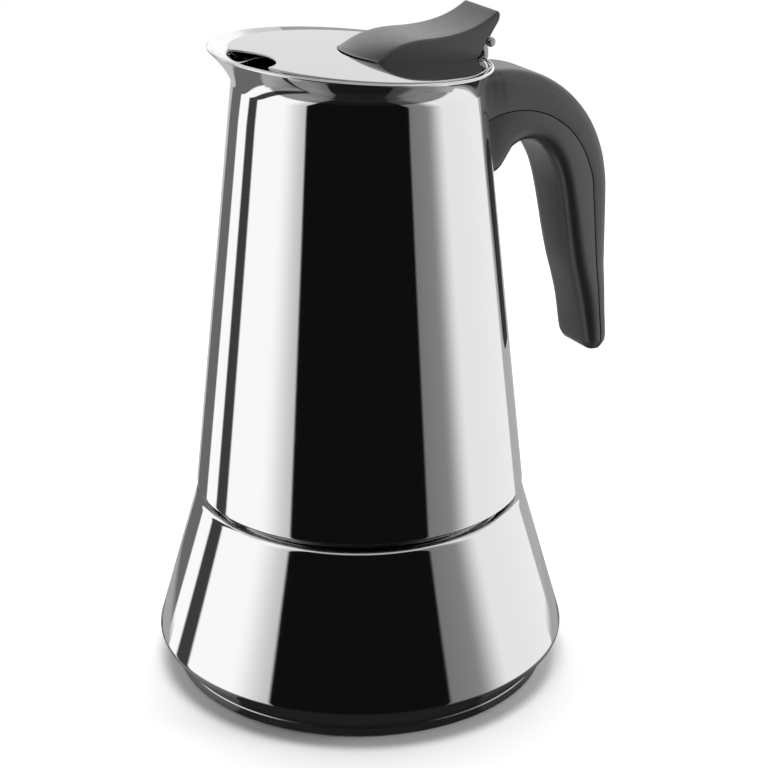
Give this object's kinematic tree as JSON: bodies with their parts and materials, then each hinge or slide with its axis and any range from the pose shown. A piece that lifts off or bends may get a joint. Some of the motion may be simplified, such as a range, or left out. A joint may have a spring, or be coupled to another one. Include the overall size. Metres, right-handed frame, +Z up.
{
  "type": "stovetop moka pot",
  "caption": "Stovetop coffee maker: polished steel boiler and screw-on tapering jug with a flared pouring lip, hinged flat lid with a thumb lever and a moulded side handle.",
  "frame": {"origin": "centre of the underside of the base disc", "axes": "+Z up along the pot's axis, -X towards the pouring lip, +X towards the handle, +Y towards the safety valve"},
  "size_m": [0.1349, 0.1192, 0.1826],
  "materials": {
    "polished_steel": "mirror-polished stainless steel",
    "lid_steel": "polished stainless steel sheet with faint circular brushing",
    "base_steel": "turned stainless steel",
    "inner_steel": "satin drawn stainless steel",
    "hinge_steel": "bright stainless steel",
    "valve_brass": "turned brass",
    "seal_silicone": "soft pale silicone",
    "grip_plastic": "dark grey moulded plastic with a fine matt grain",
    "lever_plastic": "dark grey moulded plastic with a fine matt grain"
  },
  "bodies": {
    "boiler": {"base_disc": "base_steel", "boiler_shell": "polished_steel", "valve_body": "valve_brass", "valve_washer": "seal_silicone", "valve_nut": "valve_brass", "valve_spring": "inner_steel", "funnel_basket": "inner_steel", "funnel_stem": "inner_steel", "funnel_screen": "inner_steel"},
    "plunger": {"valve_plunger": "valve_brass"},
    "seal": {"gasket": "seal_silicone", "filter_plate": "inner_steel"},
    "jug": {"jug_shell": "polished_steel", "thread_collar": "inner_steel", "jug_floor": "inner_steel", "riser_column": "inner_steel", "column_cap": "inner_steel", "handle_bracket": "inner_steel", "handle_outer_shell": "grip_plastic", "handle_inner_shell": "grip_plastic", "handle_screw": "inner_steel", "hinge_bracket": "hinge_steel", "hinge_pin": "hinge_steel"},
    "lid": {"lid_disc": "lid_steel", "lid_hinge_leaf": "hinge_steel", "lid_lever": "lever_plastic", "lever_screws": "hinge_steel"}
  },
  "joints": [
    {"name": "jug_rise", "type": "slide", "parent": "boiler", "child": "seal", "axis": [0, 0, 1], "range_m": [0, 0.005]},
    {"name": "jug_unscrew", "type": "hinge", "parent": "seal", "child": "jug", "pos_m": [0, 0, 0.06], "axis": [0, 0, 1], "range_deg": [0, 450]},
    {"name": "lid_hinge", "type": "hinge", "parent": "jug", "child": "lid", "pos_m": [0.0355, 0, 0.1748], "axis": [0, 1, 0], "range_deg": [0, 95]},
    {"name": "valve_lift", "type": "slide", "parent": "boiler", "child": "plunger", "axis": [0, 0.9601, 0.2796], "range_m": [0, 0.001], "stiffness_N_per_m": 1500, "springref_m": -0.003, "deforming": ["valve_spring"]}
  ],
  "couplings": [
    {"joint": "jug_rise", "follows": "jug_unscrew", "m_per_rad": 0.00063662}
  ]
}
